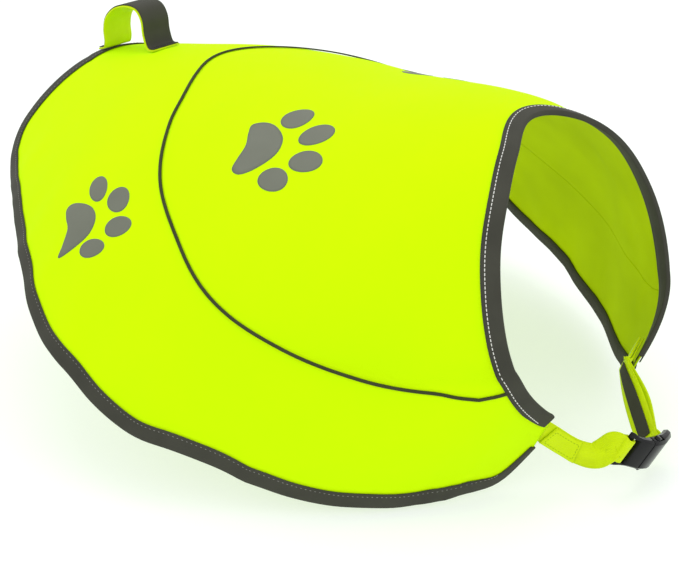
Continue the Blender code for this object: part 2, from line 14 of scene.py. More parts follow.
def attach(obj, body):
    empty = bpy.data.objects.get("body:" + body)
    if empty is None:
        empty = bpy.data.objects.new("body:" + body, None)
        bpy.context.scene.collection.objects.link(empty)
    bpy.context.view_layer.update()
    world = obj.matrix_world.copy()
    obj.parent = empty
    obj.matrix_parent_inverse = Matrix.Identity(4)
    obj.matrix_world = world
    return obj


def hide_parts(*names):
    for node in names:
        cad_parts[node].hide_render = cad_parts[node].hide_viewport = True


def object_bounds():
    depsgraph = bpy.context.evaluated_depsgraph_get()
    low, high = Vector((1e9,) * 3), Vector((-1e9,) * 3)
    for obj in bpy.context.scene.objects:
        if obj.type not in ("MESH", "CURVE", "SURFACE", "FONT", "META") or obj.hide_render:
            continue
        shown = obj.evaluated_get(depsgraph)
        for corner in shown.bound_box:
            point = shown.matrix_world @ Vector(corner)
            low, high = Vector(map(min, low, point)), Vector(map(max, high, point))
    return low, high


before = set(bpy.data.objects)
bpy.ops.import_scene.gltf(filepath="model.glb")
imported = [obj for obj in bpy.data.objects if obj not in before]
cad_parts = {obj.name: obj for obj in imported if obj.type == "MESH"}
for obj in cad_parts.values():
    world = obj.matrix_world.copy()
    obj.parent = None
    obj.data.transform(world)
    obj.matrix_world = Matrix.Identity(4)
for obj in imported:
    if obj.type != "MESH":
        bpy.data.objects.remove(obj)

cad_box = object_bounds()
print("nodes:", sorted(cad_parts))
print("frame box in metres:", [[round(value, 4) for value in corner] for corner in cad_box])

# %% [markdown]
# The photograph looks down on the wearer's right side from the front, from about a metre and a quarter
# away. A camera is an object with a lens; its direction is set by turning its -Z axis to the point looked
# at.

# %% Camera
MM = 0.001
LOOKED_AT = Vector((0.030, 0, -0.177))
CAMERA_PLACE = Vector((0.758, -0.868, 0.351))
LENS = 79.5


def aim(thing, target):
    thing.rotation_euler = (target - thing.location).to_track_quat("-Z", "Y").to_euler()


bpy.ops.object.camera_add(location=CAMERA_PLACE)
camera = bpy.context.object
camera.name = "camera"
camera.data.lens = LENS
camera.data.sensor_width = 36
camera.data.clip_start = 0.01
aim(camera, LOOKED_AT)
bpy.context.scene.camera = camera
print("camera is", round((LOOKED_AT - CAMERA_PLACE).length, 3), "m from the vest")

# %% [markdown]
# The studio is a white floor under an even white sky, one broad light from above and behind and two
# weaker ones in front. The floor glows a little, so that the cloth looks flat and bright and its shadow
# stays pale. The plain Standard view keeps the fluorescent colour as pure as the photograph shows it.

# %% Floor and lights
FLOOR_GAP = 0.004
FLOOR_SIZE = 16
LIT_PLACE = Vector((0, 0, -0.1))
lowest = cad_box[0][2] - FLOOR_GAP
bpy.ops.mesh.primitive_plane_add(size=FLOOR_SIZE, location=(0, 0, 0))
floor = bpy.context.object
floor.name = "floor"
for corner in floor.data.vertices:
    corner.co.z = lowest
paper = bpy.data.materials.new("floor_paper")
paper.use_nodes = True
paper_shader = paper.node_tree.nodes["Principled BSDF"]
paper_shader.inputs["Base Color"].default_value = (0.42, 0.42, 0.42, 1)
# The glow's green tint is painted bounce light from the lime cloth: it tints the floor's shadows pale green.
paper_shader.inputs["Emission Color"].default_value = (0.60, 0.65, 0.60, 1)
paper_shader.inputs["Emission Strength"].default_value = 1.0
paper_shader.inputs["Roughness"].default_value = 0.9
paper_shader.inputs["Specular IOR Level"].default_value = 0.05
floor.data.materials.append(paper)

LightPlan = namedtuple("LightPlan", "name place size power")
LIGHTS = [
    LightPlan("top_light", (-0.4, 0.2, 2.0), 1.6, 14),
    LightPlan("side_light", (0.5, -2.0, 1.0), 1.6, 7),
    LightPlan("front_light", (2.2, 0.3, 0.6), 1.2, 5),
]
for plan in LIGHTS:
    bpy.ops.object.light_add(type="AREA", location=plan.place)
    light = bpy.context.object
    light.name = plan.name
    light.data.size = plan.size
    light.data.energy = plan.power
    aim(light, LIT_PLACE)
world = bpy.data.worlds.new("studio")
world.use_nodes = True
sky = world.node_tree.nodes["Background"]
sky.inputs["Color"].default_value = (1, 1, 1, 1)
sky.inputs["Strength"].default_value = 0.95
bpy.context.scene.world = world
bpy.context.scene.view_settings.view_transform = "Standard"
print("floor at", round(lowest, 4), "and", len(LIGHTS), "lights")

# %% [markdown]
# The vest's form is a back with a ridge line and a widest line at each station along the body. A place on
# the cloth is a station and an angle round the body from the ridge, so every piece is laid out in those
# two numbers. The tables are the sizes that the solids are made from, in millimetres.

# %% Form of the body
CLOTH = 1.2
SEAM_GAP = 0.3
BINDING = 1.0
BINDING_GAP = 0.55
NECK_BINDING_WIDTH = 12.0
NECK_BINDING_END_WIDTH = 9.5
HEM_BINDING_WIDTH = 12.0
HEM_BINDING_END_WIDTH = 5.0
WEBBING = 1.5
TAPE = 0.7
TAIL = 1.1
LAYER_GAP = 0.35
STRAP_WIDTH = 20.0
STRIPE_WIDTH = 11.0
LOOP_WIDTH = 32.0
LOOP_TAPE_WIDTH = 30.0

Section = namedtuple("Section", "station ridge half_width widest reach")
SECTIONS = [
    Section(-280, -36, 140, -270, 200),
    Section(-220, -20.5, 182, -269, 200),
    Section(-160, -11, 225, -266, 200),
    Section(-100, -3, 259, -258, 200),
    Section(-30, -0.5, 274, -248, 200),
    Section(40, 0.5, 261, -247, 200),
    Section(95, 6, 236, -232, 180),
    Section(140, 10.5, 211, -217, 165),
    Section(180, 12, 184, -203, 160),
    Section(215, 9.5, 152, -190, 150),
    Section(240, 7, 131, -172, 120),
    Section(260, 1, 115, -147, 100),
    Section(285, -6, 99, -116, 75),
]
Edge = namedtuple("Edge", "angle station")
NECK_RIGHT = [
    Edge(0, 211), Edge(20, 228), Edge(34, 239), Edge(49, 248), Edge(63, 257),
    Edge(78, 266), Edge(95, 275), Edge(110, 279), Edge(126, 281), Edge(141, 281),
]
NECK_LEFT = [
    Edge(0, 211), Edge(20, 231), Edge(34, 244), Edge(49, 253), Edge(63, 261),
    Edge(78, 268), Edge(95, 275), Edge(110, 279), Edge(126, 281), Edge(144, 281),
]
HEM_EDGE = [
    Edge(0, -238), Edge(12, -237), Edge(22, -241), Edge(30, -246), Edge(37, -249), Edge(43, -240),
    Edge(47.5, -217), Edge(51, -177), Edge(54.5, -144), Edge(58, -106), Edge(60.5, -89),
    Edge(67, -47), Edge(71, -12), Edge(74.5, 14), Edge(78.5, 46), Edge(82, 77), Edge(86.5, 108),
]
HEM_TIP_RIGHT = [
    Edge(91.5, 132), Edge(97, 153), Edge(103, 178), Edge(107.5, 200), Edge(112.5, 220),
    Edge(121, 236), Edge(127, 243), Edge(135, 250), Edge(139, 256), Edge(143, 268),
]
HEM_TIP_LEFT = [
    Edge(88, 115), Edge(96, 156), Edge(102, 188), Edge(107, 211), Edge(112, 226),
    Edge(118, 238), Edge(125, 250), Edge(134, 263), Edge(141, 269),
]
SEAM_LINE = [
    Edge(0, -95), Edge(5, -91), Edge(11, -78), Edge(18, -60), Edge(25, -43), Edge(36, -8), Edge(46, 38),
    Edge(57, 87), Edge(66, 140), Edge(74, 191), Edge(82, 235), Edge(97, 267), Edge(105, 278),
]
SEAM_END = SEAM_LINE[-1].angle
REARWARD = 1
FORWARD = -1
RIGHT = 0
LEFT = -1


def smooth(rows, key, value, at):
    """Value at a place in a table, on a smooth curve through its rows."""
    keys = [getattr(row, key) for row in rows]
    values = [getattr(row, value) for row in rows]
    last = len(keys) - 1
    index = 0
    while index < last - 1 and at > keys[index + 1]:
        index += 1

    def slope(k):
        low = max(k - 1, 0)
        high = min(k + 1, last)
        return (values[high] - values[low]) / (keys[high] - keys[low])

    span = keys[index + 1] - keys[index]
    t = (at - keys[index]) / span
    if t < 0 or t > 1:
        end = index if t < 0 else index + 1
        return values[end] + slope(end) * (at - keys[end])
    return ((2 * t**3 - 3 * t**2 + 1) * values[index] + (t**3 - 2 * t**2 + t) * span * slope(index)
            + (3 * t**2 - 2 * t**3) * values[index + 1] + (t**3 - t**2) * span * slope(index + 1))


def both_sides(right, left):
    """Edge table from the right side's end over the ridge to the left side's end."""
    return [Edge(-row.angle, row.station) for row in reversed(right) if row.angle] + list(left)


NECK_BOTH = both_sides(NECK_RIGHT, NECK_LEFT)
HEM_BOTH = both_sides(HEM_EDGE + HEM_TIP_RIGHT, HEM_EDGE + HEM_TIP_LEFT)
SEAM_BOTH = both_sides(SEAM_LINE, SEAM_LINE)
NECK_ENDS = (NECK_BOTH[RIGHT].angle, NECK_BOTH[LEFT].angle)
HEM_ENDS = (HEM_BOTH[RIGHT].angle, HEM_BOTH[LEFT].angle)


def section_sizes(station):
    return [smooth(SECTIONS, "station", size, station) for size in Section._fields[1:]]


def form(station, angle, sizes=None):
    """Point of the smooth form in millimetres; negative angles are on the wearer's right."""
    ridge, half_width, widest, reach = sizes or section_sizes(station)
    up = math.cos(math.radians(angle))
    height = ridge + CLOTH - widest if up > 0 else reach
    return Vector((station, half_width * math.sin(math.radians(angle)), widest + height * up))


def form_directions(station, angle):
    """Change of the form for 1 mm of station and for 1 degree, and its outward normal."""
    sizes = section_sizes(station)
    forward = form(station + 0.5, angle) - form(station - 0.5, angle)
    around = form(station, angle + 0.5, sizes) - form(station, angle - 0.5, sizes)
    return forward, around, forward.cross(around).normalized()


print("half width at the middle:", round(section_sizes(0)[1]), "mm")

# %% [markdown]
# Cloth is never quite smooth. The large soft folds are the ones of the solids. The smaller ones are
# listed one by one: pulls near the chest tips, dents by the loop's feet and small puckers along the bound
# hem, uneven in length, depth and spacing, with similar ones on the side that the photograph hides.

# %% Folds and puckers
Fold = namedtuple("Fold", "station angle turn length width rise")
FOLDS = [
    Fold(-215, 40, 60, 34, 13, 1.8), Fold(-150, 50, 75, 30, 12, -1.6), Fold(-95, 55, 70, 40, 15, 1.7),
    Fold(-40, 62, 80, 34, 14, -1.8), Fold(20, 68, 85, 44, 16, 2.0), Fold(75, 76, 95, 32, 13, -1.6),
    Fold(120, 84, 100, 36, 14, 1.5), Fold(-190, -42, 65, 30, 12, 1.6), Fold(-130, -50, 70, 38, 14, -1.7),
    Fold(-70, -57, 80, 32, 13, 1.8), Fold(0, -65, 80, 42, 16, -1.9), Fold(60, -74, 90, 30, 12, 1.6),
    Fold(110, -82, 100, 38, 14, -1.4),
]
CREASES = [
    Fold(238, -118, 20, 26, 5, 0.7), Fold(225, -110, 35, 30, 6, -0.6), Fold(244, 116, 25, 24, 5, 0.7),
    Fold(222, 108, 40, 32, 6, -0.6), Fold(206, -60, 75, 28, 5, 0.5), Fold(190, -35, 60, 26, 6, -0.5),
    Fold(225, 70, 80, 34, 6, 0.8), Fold(200, 50, 65, 30, 6, -0.8), Fold(236, 92, 95, 26, 5, -0.7),
    Fold(170, 88, 110, 36, 7, 0.7), Fold(-236, 9, 20, 16, 4, -0.5), Fold(-232, -10, -25, 18, 4, -0.5),
    Fold(-165, 7, 10, 15, 4, -0.4), Fold(-168, -8, -15, 14, 4, -0.4),
    Fold(-226, -42, 40, 13, 5, 0.6), Fold(-204, -47, 55, 12, 5, -0.5), Fold(-176, -50, 60, 15, 6, 0.6),
    Fold(-148, -53, 65, 12, 5, -0.4), Fold(-118, -56, 60, 14, 5, 0.5), Fold(-92, -59, 70, 12, 5, -0.4),
    Fold(-232, 41, 40, 12, 5, 0.5), Fold(-198, 47, 55, 14, 6, -0.5), Fold(-163, 51, 60, 12, 5, 0.5),
    Fold(-135, 55, 70, 15, 5, -0.4), Fold(-98, 58, 60, 12, 5, 0.6), Fold(-20, -69, 75, 14, 5, 0.4),
    Fold(30, 75, 80, 13, 5, -0.4),
]
SPREAD_PER_DEGREE = 3.6
FOLD_REACH = 4
WALK_ROUNDS = 3


def fold_rise(station, angle, folds):
    rise = 0.0
    for fold in folds:
        around = (angle - fold.angle) * SPREAD_PER_DEGREE
        forward = station - fold.station
        if abs(around) + abs(forward) > FOLD_REACH * fold.length:
            continue
        turn = math.radians(fold.turn)
        along = forward * math.cos(turn) + around * math.sin(turn)
        across = around * math.cos(turn) - forward * math.sin(turn)
        rise += fold.rise * math.exp(-(along / fold.length) ** 2 - (across / fold.width) ** 2)
    return rise


def skin(place, lift=0.0):
    """Point of the cloth's outer face at a (station, angle) place, moved out by lift."""
    station, angle = place
    normal = form_directions(station, angle)[2]
    rise = fold_rise(station, angle, FOLDS) + fold_rise(station, angle, CREASES)
    return form(station, angle) + normal * (lift + rise)


def walk(place, step):
    """Place reached by a step along the cloth, given as a vector in millimetres."""
    station, angle = place
    goal = form(station, angle) + step
    for _ in range(WALK_ROUNDS):
        forward, around, normal = form_directions(station, angle)
        miss = goal - form(station, angle)
        miss -= normal * miss.dot(normal)
        ff = forward.dot(forward)
        fa = forward.dot(around)
        aa = around.dot(around)
        mf = miss.dot(forward)
        ma = miss.dot(around)
        det = ff * aa - fa * fa
        station += (mf * aa - ma * fa) / det
        angle += (ma * ff - mf * fa) / det
    return station, angle


print("folds:", len(FOLDS), "large and", len(CREASES), "small")

# %% [markdown]
# The edges of the cut are walked in equal steps, and a second line is found by stepping square to the
# first along the cloth. The panels, the tapes and their stitches all start from these two moves.

# %% Lines on the cloth
CURVE_SAMPLES = 480
LENGTH_STEPS = 200


def spaced(rows, start, end, count):
    """Places evenly spaced along an edge between two angles."""
    places = []
    for k in range(CURVE_SAMPLES + 1):
        angle = start + (end - start) * k / CURVE_SAMPLES
        places.append((smooth(rows, "angle", "station", angle), angle))
    points = [form(*place) for place in places]
    travelled = [0.0]
    for k in range(CURVE_SAMPLES):
        travelled.append(travelled[-1] + (points[k + 1] - points[k]).length)
    result = []
    k = 0
    for j in range(count + 1):
        goal = travelled[-1] * j / count
        while k < CURVE_SAMPLES - 1 and travelled[k + 1] < goal:
            k += 1
        share = (goal - travelled[k]) / (travelled[k + 1] - travelled[k])
        angle = places[k][1] + (places[k + 1][1] - places[k][1]) * share
        result.append((smooth(rows, "angle", "station", angle), angle))
    return result


def length_of(places):
    points = [form(*place) for place in places]
    return sum((b - a).length for a, b in zip(points, points[1:]))


def inward(places, j, side):
    """Unit vector along the cloth, square to an edge that runs from right to left."""
    before = form(*places[max(j - 1, 0)])
    after = form(*places[min(j + 1, len(places) - 1)])
    along = (after - before).normalized()
    normal = form_directions(*places[j])[2]
    return normal.cross(along).normalized() * side


def shifted(places, distance, side):
    return [walk(place, inward(places, j, side) * distance) for j, place in enumerate(places)]


def between(a, b, share):
    return (a[0] + (b[0] - a[0]) * share, a[1] + (b[1] - a[1]) * share)


neck_length = length_of(spaced(NECK_BOTH, *NECK_ENDS, LENGTH_STEPS))
hem_length = length_of(spaced(HEM_BOTH, *HEM_ENDS, LENGTH_STEPS))
print("neck edge", round(neck_length), "mm and hem edge", round(hem_length), "mm")

# %% [markdown]
# Effects that several finishes share are node groups with their own inputs. A woven cloth is two crossing
# sets of threads, read from the piece's UV map in metres, so that the weave follows the cloth. A rib
# group gives the lengthwise cords of webbing, and a grain group the fine unevenness of a moulded or
# coated face.


# %% Shared effects
def new_group(name, inputs, outputs):
    group = bpy.data.node_groups.new(name, "ShaderNodeTree")
    for label, default in inputs:
        socket = group.interface.new_socket(name=label, in_out="INPUT", socket_type="NodeSocketFloat")
        socket.default_value = default
    for label, kind in outputs:
        group.interface.new_socket(name=label, in_out="OUTPUT", socket_type=kind)
    start = group.nodes.new("NodeGroupInput")
    end = group.nodes.new("NodeGroupOutput")
    return group, start, end


def calculate(tree, operation, first, second=None):
    node = tree.nodes.new("ShaderNodeMath")
    node.operation = operation
    for socket, value in zip(node.inputs, (first, second)):
        if value is None:
            continue
        if isinstance(value, (int, float)):
            socket.default_value = value
        else:
            tree.links.new(value, socket)
    return node.outputs[0]


def weave_group():
    """Plain weave over a UV map in metres: height of the threads and a mask of the gaps between them."""
    group, start, end = new_group(
        "weave", [("Threads per metre", 1600.0), ("Unevenness", 0.3)],
        [("Height", "NodeSocketFloat"), ("Gap", "NodeSocketFloat")])
    links = group.links
    uv = group.nodes.new("ShaderNodeUVMap")
    uv.uv_map = "cloth"
    split = group.nodes.new("ShaderNodeSeparateXYZ")
    links.new(uv.outputs[0], split.inputs[0])
    noise = group.nodes.new("ShaderNodeTexNoise")
    noise.inputs["Scale"].default_value = 900
    noise.inputs["Detail"].default_value = 1
    links.new(uv.outputs[0], noise.inputs["Vector"])
    drift = calculate(group, "MULTIPLY", noise.outputs["Fac"], start.outputs["Unevenness"])
    waves = []
    for axis in ("X", "Y"):
        turns = calculate(group, "MULTIPLY", split.outputs[axis], start.outputs["Threads per metre"])
        turns = calculate(group, "ADD", turns, drift)
        waves.append(calculate(group, "SINE", calculate(group, "MULTIPLY", turns, math.pi)))
    product = calculate(group, "MULTIPLY", waves[0], waves[1])
    crossing = calculate(group, "ABSOLUTE", product)
    links.new(crossing, end.inputs["Height"])
    links.new(calculate(group, "SUBTRACT", 1.0, crossing), end.inputs["Gap"])
    return group


def rib_group():
    """Lengthwise ribs over a UV map in metres, with fine cross threads on them."""
    group, start, end = new_group(
        "ribs", [("Ribs per metre", 700.0), ("Picks per metre", 1400.0)], [("Height", "NodeSocketFloat")])
    uv = group.nodes.new("ShaderNodeUVMap")
    uv.uv_map = "cloth"
    split = group.nodes.new("ShaderNodeSeparateXYZ")
    group.links.new(uv.outputs[0], split.inputs[0])
    across = calculate(group, "MULTIPLY", split.outputs["X"], start.outputs["Ribs per metre"])
    along = calculate(group, "MULTIPLY", split.outputs["Y"], start.outputs["Picks per metre"])
    waves = []
    for turns in (across, along):
        wave = calculate(group, "SINE", calculate(group, "MULTIPLY", turns, math.pi))
        waves.append(calculate(group, "ABSOLUTE", wave))
    height = calculate(group, "ADD", waves[0], calculate(group, "MULTIPLY", waves[1], 0.45))
    group.links.new(height, end.inputs["Height"])
    return group


def grain_group():
    """Fine grain and slow cloudiness on Object coordinates."""
    group, start, end = new_group(
        "grain", [("Grain scale", 1500.0), ("Cloud scale", 25.0)],
        [("Grain", "NodeSocketFloat"), ("Cloud", "NodeSocketFloat")])
    place = group.nodes.new("ShaderNodeTexCoord")
    for label in ("Grain", "Cloud"):
        noise = group.nodes.new("ShaderNodeTexNoise")
        noise.inputs["Detail"].default_value = 3
        group.links.new(place.outputs["Object"], noise.inputs["Vector"])
        group.links.new(start.outputs[label + " scale"], noise.inputs["Scale"])
        group.links.new(noise.outputs["Fac"], end.inputs[label])
    return group


WEAVE = weave_group()
RIBS = rib_group()
GRAIN = grain_group()
print("shared effects:", [group.name for group in bpy.data.node_groups])

# %% [markdown]
# Each finish is a Principled shader of its own. The cloth is fluorescent: it gives back more yellow-green
# than an ordinary dye. Its emission of its own colour, on the outside, on the inside and on the webbing,
# is a painted glow that brightens it evenly under any light. Its inside is darker, partly the duller back
# of the same cloth and partly painted shade of the hollow. Tapes are dark warm grey, and the transfers a
# lighter grey with glass beads in it.


# %% Finishes
def finish_start(name, colour, roughness):
    made = bpy.data.materials.new(name)
    made.use_nodes = True
    shader = made.node_tree.nodes["Principled BSDF"]
    shader.inputs["Base Color"].default_value = colour
    shader.inputs["Roughness"].default_value = roughness
    return made, made.node_tree, shader


def group_node(tree, group, **values):
    node = tree.nodes.new("ShaderNodeGroup")
    node.node_tree = group
    for label, value in values.items():
        node.inputs[label.replace("_", " ")].default_value = value
    return node


def vary_colour(tree, shader, mask, dark, light):
    """Base colour that runs from one colour to another by a mask."""
    mix = tree.nodes.new("ShaderNodeMix")
    mix.data_type = "RGBA"
    tree.links.new(mask, mix.inputs["Factor"])
    mix.inputs["A"].default_value = dark
    mix.inputs["B"].default_value = light
    tree.links.new(mix.outputs["Result"], shader.inputs["Base Color"])


def bump(tree, shader, height, distance, strength=1.0):
    node = tree.nodes.new("ShaderNodeBump")
    node.inputs["Distance"].default_value = distance
    node.inputs["Strength"].default_value = strength
    tree.links.new(height, node.inputs["Height"])
    tree.links.new(node.outputs["Normal"], shader.inputs["Normal"])


def cloth_finish(name, dark, light, glow, sheen):
    made, tree, shader = finish_start(name, light, 0.85)
    weave = group_node(tree, WEAVE, Threads_per_metre=1500.0)
    grain = group_node(tree, GRAIN, Grain_scale=900.0, Cloud_scale=14.0)
    vary_colour(tree, shader, grain.outputs["Cloud"], dark, light)
    bump(tree, shader, weave.outputs["Height"], 0.00012, 0.6)
    # Emission of the cloth's own colour: a painted glow, bright under any light, though the cloth is no
    # lamp.
    shader.inputs["Emission Color"].default_value = light
    shader.inputs["Emission Strength"].default_value = glow
    shader.inputs["Sheen Weight"].default_value = sheen
    shader.inputs["Sheen Roughness"].default_value = 0.5
    shader.inputs["Specular IOR Level"].default_value = 0.05
    return made


def webbing_finish(name, dark, light, glow=0.0, ribs=700.0, roughness=0.5):
    made, tree, shader = finish_start(name, light, roughness)
    rib = group_node(tree, RIBS, Ribs_per_metre=ribs)
    grain = group_node(tree, GRAIN, Grain_scale=1200.0, Cloud_scale=60.0)
    vary_colour(tree, shader, grain.outputs["Cloud"], dark, light)
    bump(tree, shader, rib.outputs["Height"], 0.0003, 0.7)
    # Emission of the webbing's own colour: a painted glow, bright under any light.
    shader.inputs["Emission Color"].default_value = light
    shader.inputs["Emission Strength"].default_value = glow
    shader.inputs["Specular IOR Level"].default_value = 0.15
    return made


def coated_finish(name, dark, light, roughness, grain_scale=1500.0, height=0.00008, coat=0.0, specular=0.2):
    made, tree, shader = finish_start(name, light, roughness)
    grain = group_node(tree, GRAIN, Grain_scale=grain_scale, Cloud_scale=40.0)
    vary_colour(tree, shader, grain.outputs["Cloud"], dark, light)
    bump(tree, shader, grain.outputs["Grain"], height, 0.6)
    shader.inputs["Specular IOR Level"].default_value = specular
    shader.inputs["Coat Weight"].default_value = coat
    shader.inputs["Coat Roughness"].default_value = 0.15
    return made


LIME_DARK = (0.50, 0.80, 0.0, 1)
LIME_LIGHT = (0.55, 0.86, 0.0, 1)
lime_cloth = cloth_finish("lime_cloth", LIME_DARK, LIME_LIGHT, 0.12, 0.0)
# Darker copy of the cloth for its inside: the duller back plus painted shade of the hollow, with the same
# painted glow.
lime_dull_back_and_painted_shade = cloth_finish("lime_cloth_inside", (0.30, 0.42, 0.0, 1), (0.52, 0.68, 0.0, 1), 0.12, 0.0)
lime_webbing = webbing_finish("lime_webbing", (0.47, 0.61, 0.0, 1), (0.60, 0.79, 0.0, 1), 0.10)
grey_tape = coated_finish("grey_tape", (0.032, 0.032, 0.024, 1), (0.055, 0.055, 0.042, 1), 0.7)
olive_piping = coated_finish("olive_piping", (0.026, 0.033, 0.010, 1), (0.045, 0.053, 0.018, 1), 0.7)
grey_transfer = coated_finish("grey_transfer", (0.13, 0.14, 0.108, 1), (0.16, 0.17, 0.134, 1), 0.5, 2600.0)
white_thread = coated_finish("white_thread", (0.62, 0.62, 0.58, 1), (0.80, 0.80, 0.76, 1), 0.5, 5000.0)
hem_thread = coated_finish("hem_thread", (0.22, 0.22, 0.20, 1), (0.34, 0.34, 0.31, 1), 0.5, 5000.0)
lime_thread = coated_finish("lime_thread", (0.30, 0.44, 0.0, 1), (0.40, 0.58, 0.0, 1), 0.5, 5000.0)
dark_thread = coated_finish("dark_thread", (0.02, 0.02, 0.018, 1), (0.045, 0.045, 0.04, 1), 0.5, 5000.0)
black_plastic = coated_finish("black_plastic", (0.004, 0.004, 0.005, 1), (0.007, 0.007, 0.008, 1), 0.22,
                              2200.0, 0.00003, 0.05, 0.16)
print("finishes:", len(bpy.data.materials))

# %% [markdown]
# A cloth panel starts as a flat grid with as many squares as the panel needs. Its points are then laid on
# the form row by row, the grid's UV map becomes a map in metres measured along the laid threads, and
# Solidify gives the cloth its thickness to the inside, where it takes the darker inside finish: the duller
# back of the cloth with painted shade of the hollow.


# %% Laying a grid on the form
AXIS_DEPTH = 0.25


def deselect_all():
    if bpy.context.object and bpy.context.object.mode != "OBJECT":
        bpy.ops.object.mode_set(mode="OBJECT")
    bpy.ops.object.select_all(action="DESELECT")


def grid_piece(name, points):
    """Grid primitive with its points moved to rows of points in millimetres, and a UV map in metres."""
    rows = len(points) - 1
    columns = len(points[0]) - 1
    deselect_all()
    bpy.ops.mesh.primitive_grid_add(x_subdivisions=columns, y_subdivisions=rows, size=1)
    piece = bpy.context.object
    piece.name = name
    piece.data.name = name
    mesh = piece.data
    cells = []
    for vertex in mesh.vertices:
        j = round((vertex.co.x + 0.5) * columns)
        i = round((vertex.co.y + 0.5) * rows)
        cells.append((i, j))
        vertex.co = points[i][j] * MM
    middle_row = rows // 2
    middle_column = columns // 2
    around = []
    for row in points:
        line = [0.0]
        for a, b in zip(row, row[1:]):
            line.append(line[-1] + (b - a).length)
        around.append([value - line[middle_column] for value in line])
    along = []
    for j in range(columns + 1):
        line = [0.0]
        for i in range(rows):
            line.append(line[-1] + (points[i + 1][j] - points[i][j]).length)
        along.append([value - line[middle_row] for value in line])
    layer = mesh.uv_layers[0]
    layer.name = "cloth"
    for loop in mesh.loops:
        i, j = cells[loop.vertex_index]
        layer.data[loop.index].uv = (around[i][j] * MM, along[j][i] * MM)
    mesh.shade_smooth()
    return piece


def turn_out(piece, outward):
    """Flip the faces if more of their area looks inward than outward."""
    vote = sum(face.area * face.normal.dot(outward(face.center)) for face in piece.data.polygons)
    if vote < 0:
        piece.data.flip_normals()


def apply_all(piece):
    deselect_all()
    piece.select_set(True)
    bpy.context.view_layer.objects.active = piece
    for modifier in list(piece.modifiers):
        bpy.ops.object.modifier_apply(modifier=modifier.name)


def from_the_axis(point):
    return Vector((0, point.y, point.z + AXIS_DEPTH))


def thicken(piece, thickness, outside, inside, rim=None):
    """Give a laid sheet its thickness to the inside, with a finish for each face."""
    for finish in (outside, inside, rim or outside):
        piece.data.materials.append(finish)
    wall = piece.modifiers.new("thickness", "SOLIDIFY")
    wall.thickness = thickness * MM
    wall.offset = -1
    wall.material_offset = 1
    wall.material_offset_rim = 2
    apply_all(piece)


def settle(piece, *nodes, slot=None):
    """Let a piece ride on the body and stand for its solids; slot is not used."""
    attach(piece, "root")
    if nodes:
        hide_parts(*nodes)
    print(piece.name, "has", len(piece.data.polygons), "faces")
    return piece


print("cloth is laid round an axis", AXIS_DEPTH, "m below the ridge")

# %% [markdown]
# The yoke is the back and shoulder panel, cut in one piece over the ridge. The surround is the second
# panel: it runs from the curved seam to the hem and ends in two chest tips, where its short edges follow
# the neck line down and cross the tip.

# %% Yoke and surround
COLUMNS = 320
YOKE_ROWS = 64
SURROUND_ROWS = 60
END_BLEND = 0.10


def yoke_places():
    neck = spaced(NECK_BOTH, -SEAM_END, SEAM_END, COLUMNS)
    seam = shifted(spaced(SEAM_BOTH, -SEAM_END, SEAM_END, COLUMNS), SEAM_GAP / 2, FORWARD)
    seam[0] = neck[0]
    seam[-1] = neck[-1]
    return [[between(a, b, i / YOKE_ROWS) for a, b in zip(neck, seam)] for i in range(YOKE_ROWS + 1)]


def tip_edge(end):
    """Places down one front end of the surround: neck edge below the seam, then across the tip."""
    tip_rows = SURROUND_ROWS * 3 // 10
    clear = math.copysign(SEAM_END + 0.25, NECK_ENDS[end])
    down = spaced(NECK_BOTH, clear, NECK_ENDS[end], SURROUND_ROWS - tip_rows)
    hem_corner = (HEM_BOTH[end].station, HEM_BOTH[end].angle)
    return down + [between(down[-1], hem_corner, (i + 1) / tip_rows) for i in range(tip_rows)]


def surround_places():
    seam = shifted(spaced(SEAM_BOTH, -SEAM_END, SEAM_END, COLUMNS), SEAM_GAP / 2, REARWARD)
    hem = spaced(HEM_BOTH, *HEM_ENDS, COLUMNS)
    ends = ((tip_edge(RIGHT), 0), (tip_edge(LEFT), COLUMNS))
    seam[0] = ends[0][0][0]
    seam[-1] = ends[1][0][0]
    grid = []
    for i in range(SURROUND_ROWS + 1):
        share = i / SURROUND_ROWS
        row = []
        for j in range(COLUMNS + 1):
            station, angle = between(seam[j], hem[j], share)
            for end, corner in ends:
                pull = max(0.0, 1 - abs(j - corner) / (END_BLEND * COLUMNS)) ** 2
                straight = between(seam[corner], hem[corner], share)
                station += (end[i][0] - straight[0]) * pull
                angle += (end[i][1] - straight[1]) * pull
            row.append((station, angle))
        grid.append(row)
    return grid


def cloth_panel(name, places):
    piece = grid_piece(name, [[skin(place) for place in row] for row in places])
    turn_out(piece, from_the_axis)
    area = sum(face.area for face in piece.data.polygons)
    thicken(piece, CLOTH, lime_cloth, lime_dull_back_and_painted_shade, lime_dull_back_and_painted_shade)
    print(name, "has", round(area, 3), "square metres of cloth")
    return settle(piece, name.replace("_cloth", "_panel"), slot="lime_cloth")


yoke = cloth_panel("yoke_cloth", yoke_places())
surround = cloth_panel("surround_cloth", surround_places())

# %% [markdown]
# The raw edges are bound: a tape is folded over each edge, with a long outer leg, a round fold and an
# inner leg. It is one closed profile swept along the edge. A grid is laid on the profile's points for
# each step of the edge, and its two long sides are joined, so the tape keeps a UV map along its length.

# %% Bound edges
BINDING_STEPS = 300
NECK_TAPER = 16
HEM_TAPER = 12
NECK_END_GAP = 0.6


